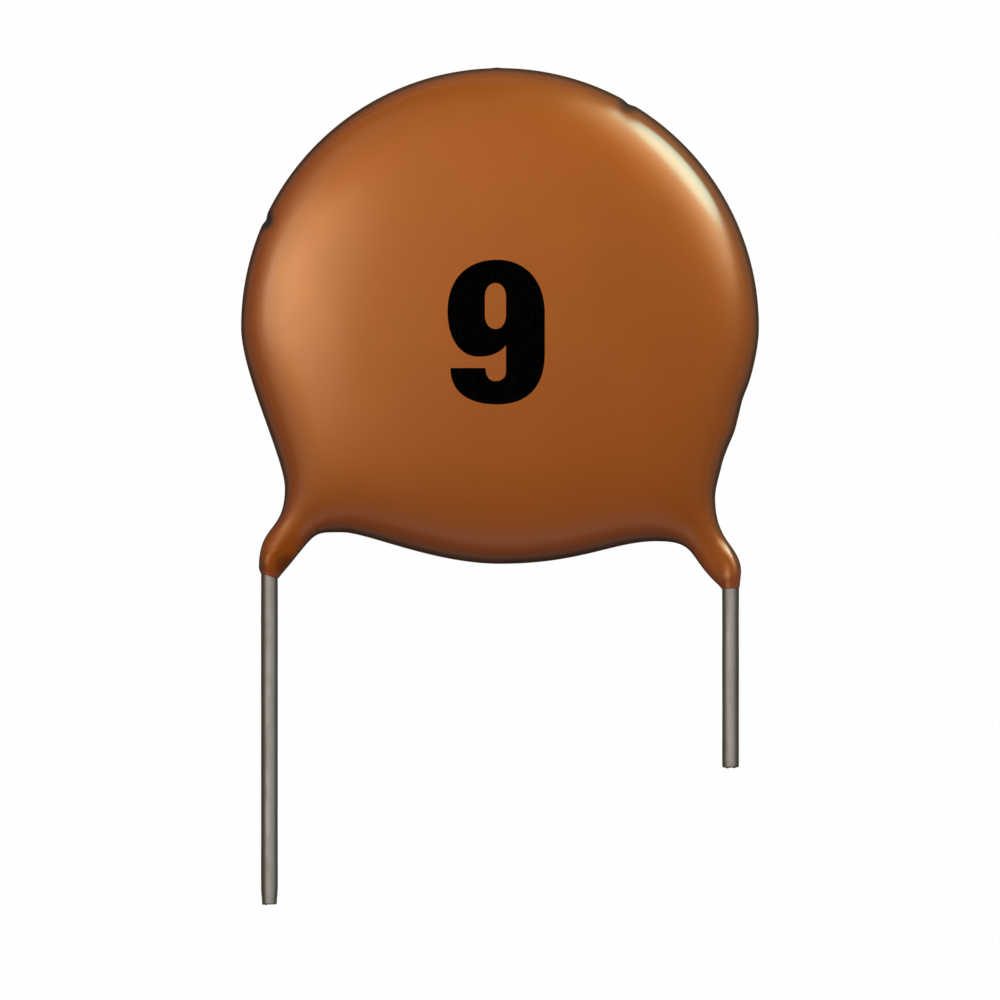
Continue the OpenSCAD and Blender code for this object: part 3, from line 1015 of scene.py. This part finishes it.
def area_light(name, azimuth, elevation, distance, width, height, radiance, colour):
    """A soft oval light that faces the part."""
    place = distance * direction(azimuth, elevation)
    data = bpy.data.lights.new(name, "AREA")
    data.shape = "ELLIPSE"
    data.size = width
    data.size_y = height
    data.energy = radiance * math.pi * width * height
    data.color = colour
    light = bpy.data.objects.new(name, data)
    light.location = place
    light.rotation_euler = (-place).to_track_quat("-Z", "Y").to_euler()
    bpy.context.scene.collection.objects.link(light)


sky_level = 0.1
horizon_level = 1.0
horizon_height = 0.12
# Soft lights in the sky: azimuth, elevation, angles at which each is full and gone, level, colour
SKY_LIGHTS = {
    "left": (167, 63, 2, 18, 6.5, (1, 0.89, 0.65)),
    "left_low": (166, 47, 2, 20, 4.4, (1, 0.93, 0.65)),
    "left_wide": (160, 54, 8, 48, 0.95, (1, 0.95, 0.85)),
    "right": (41, 33, 3, 29, 4.9, (1, 0.76, 0.52)),
    "right_wide": (30, 60, 8, 50, 0.45, (1, 0.8, 0.7)),
    "near": (270, 45, 6, 32, 0.5, (1, 1, 0.9)),
}


def soft_step(tree, value, low, high, at_low, at_high):
    step = tree.nodes.new("ShaderNodeMapRange")
    step.interpolation_type = "SMOOTHSTEP"
    tree.links.new(value, step.inputs["Value"])
    set_range(step, low, high, at_low, at_high)
    return step.outputs["Result"]


def make_world():
    """A dim, even sky with soft lights, which shows white close to the horizon."""
    world = bpy.data.worlds.new("studio")
    bpy.context.scene.world = world
    world.use_nodes = True
    tree = world.node_tree
    background = tree.nodes["Background"]
    place = tree.nodes.new("ShaderNodeTexCoord").outputs["Generated"]
    split = tree.nodes.new("ShaderNodeSeparateXYZ")
    tree.links.new(place, split.inputs[0])
    band = soft_step(tree, split.outputs["Z"], 0, horizon_height, horizon_level - sky_level, 0)
    total = joined(tree, "ADD", joined(tree, "MULTIPLY", band, seen_share(tree)), sky_level)
    for azimuth, elevation, full, gone, level, colour in SKY_LIGHTS.values():
        towards = tree.nodes.new("ShaderNodeVectorMath")
        towards.operation = "DOT_PRODUCT"
        tree.links.new(place, towards.inputs[0])
        towards.inputs[1].default_value = direction(azimuth, elevation)
        edge, core = math.cos(math.radians(gone)), math.cos(math.radians(full))
        share = soft_step(tree, towards.outputs["Value"], edge, core, 0, level)
        tinted = tree.nodes.new("ShaderNodeVectorMath")
        tinted.operation = "MULTIPLY_ADD"
        tree.links.new(share, tinted.inputs[0])
        tinted.inputs[1].default_value = colour
        tree.links.new(total, tinted.inputs[2])
        total = tinted.outputs[0]
    tree.links.new(total, background.inputs["Color"])


def make_lights():
    """The one near light, whose mirror image is the bright streak along the upper right rim."""
    area_light("right_strip", 43.5, 18, 0.25, 0.135, 0.175, 7.5, (0.35, 0.93, 0.85))


# The picture is a square that shows this many millimetres at the part's middle plane
view_width = 32.55
view_middle = -5.631
lens = 200
sensor = 36
clip_near = 0.01
clip_far = 20


def make_camera():
    data = bpy.data.cameras.new("camera")
    data.lens = lens
    data.sensor_width = sensor
    data.clip_start = clip_near
    data.clip_end = clip_far
    camera = bpy.data.objects.new("camera", data)
    distance = view_width * MM * lens / sensor
    camera.location = (0, view_middle * MM, middle * MM + distance)
    bpy.context.scene.collection.objects.link(camera)
    bpy.context.scene.camera = camera


# The scene

def carried_over(node, material):
    """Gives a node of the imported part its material."""
    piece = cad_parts[node]
    piece.data.materials.clear()
    piece.data.materials.append(material)


def add_piece(piece, node):
    """Sets a piece of the scene on the part, in place of a node where one is named."""
    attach(piece, "root")
    if node:
        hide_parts(node)


make_camera()
make_world()
make_lights()
make_floor()

coat = make_coat(resin_material())
add_piece(coat, "coating")
add_piece(make_nine(coat, ink_material()), None)
tin = tin_material()
add_piece(make_lead(LEFT, tin), "left_lead")
add_piece(make_lead(RIGHT, tin), "right_lead")

silver = silver_material()
solder = solder_material()
carried_over("ceramic_disc", ceramic_material())
for name in ("front_electrode", "rear_electrode"):
    carried_over(name, silver)
for name in ("front_solder", "rear_solder"):
    carried_over(name, solder)

bpy.context.scene.view_settings.view_transform = "Standard"
